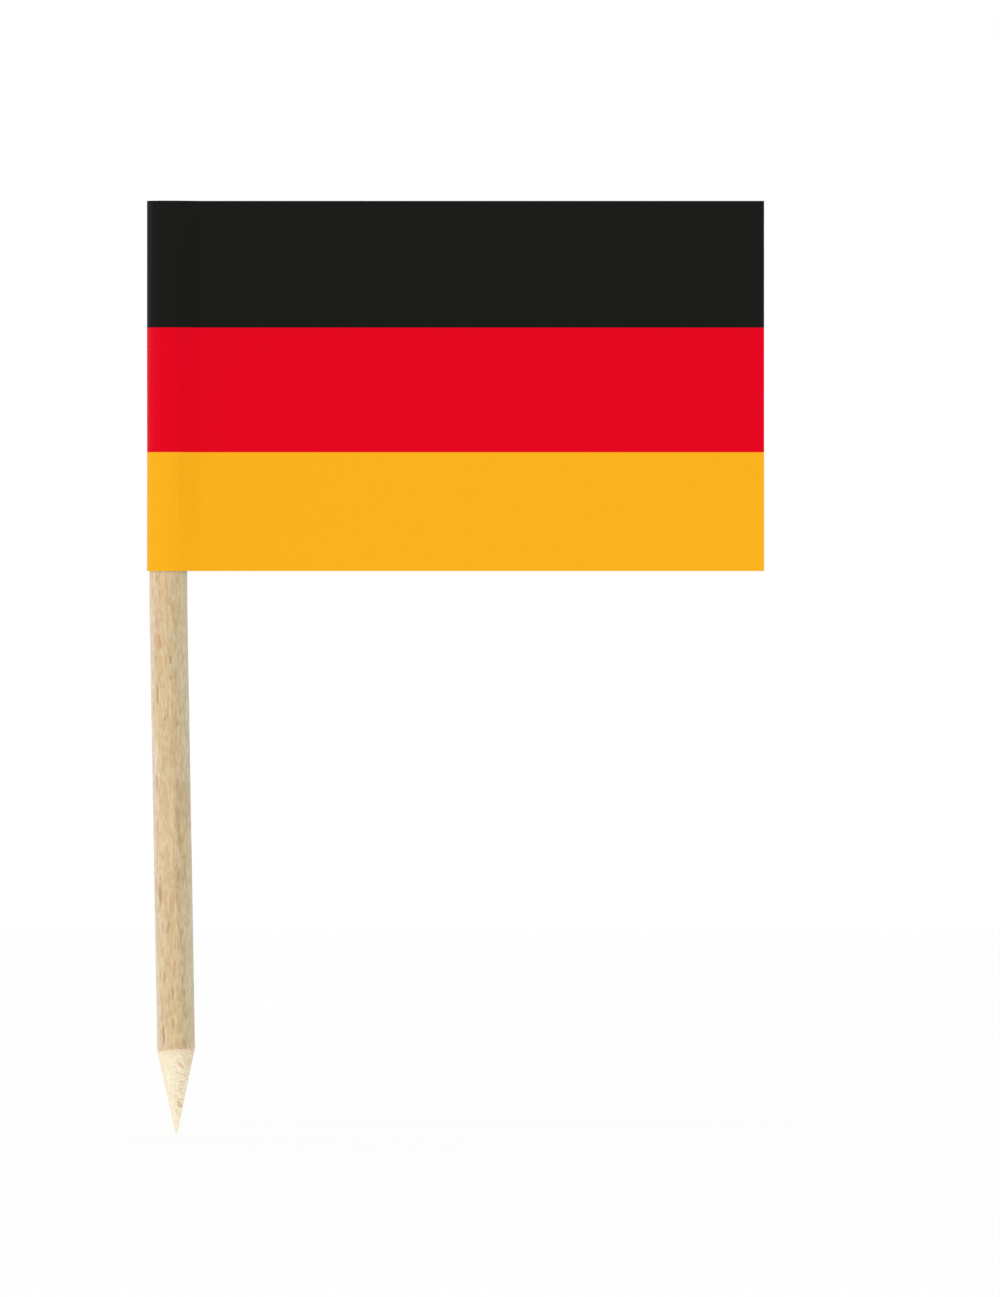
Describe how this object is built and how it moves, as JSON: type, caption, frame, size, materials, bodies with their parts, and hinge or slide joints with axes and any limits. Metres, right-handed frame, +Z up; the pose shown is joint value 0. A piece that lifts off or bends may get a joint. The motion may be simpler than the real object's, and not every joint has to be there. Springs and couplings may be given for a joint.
{
  "type": "flag pick",
  "caption": "Pointed round wooden pick with a small three-band paper flag folded round its upper end and glued to itself.",
  "frame": {"origin": "the pick's tip, on the axis of its cut point", "axes": "+Z runs up the pick, from its tip to its sawn end. +X runs from the pick to the flag's free edge. -Y is the side that the flag's front leaf faces."},
  "size_m": [0.043, 0.003, 0.065],
  "materials": {
    "beech": null,
    "adhesive": "satin",
    "paper": null,
    "black_ink": "satin",
    "red_ink": "satin",
    "gold_ink": "satin"
  },
  "bodies": {
    "root": {"pick": "beech", "adhesive": "adhesive", "flag_paper": "paper", "black_print": "black_ink", "red_print": "red_ink", "gold_print": "gold_ink"}
  },
  "joints": []
}
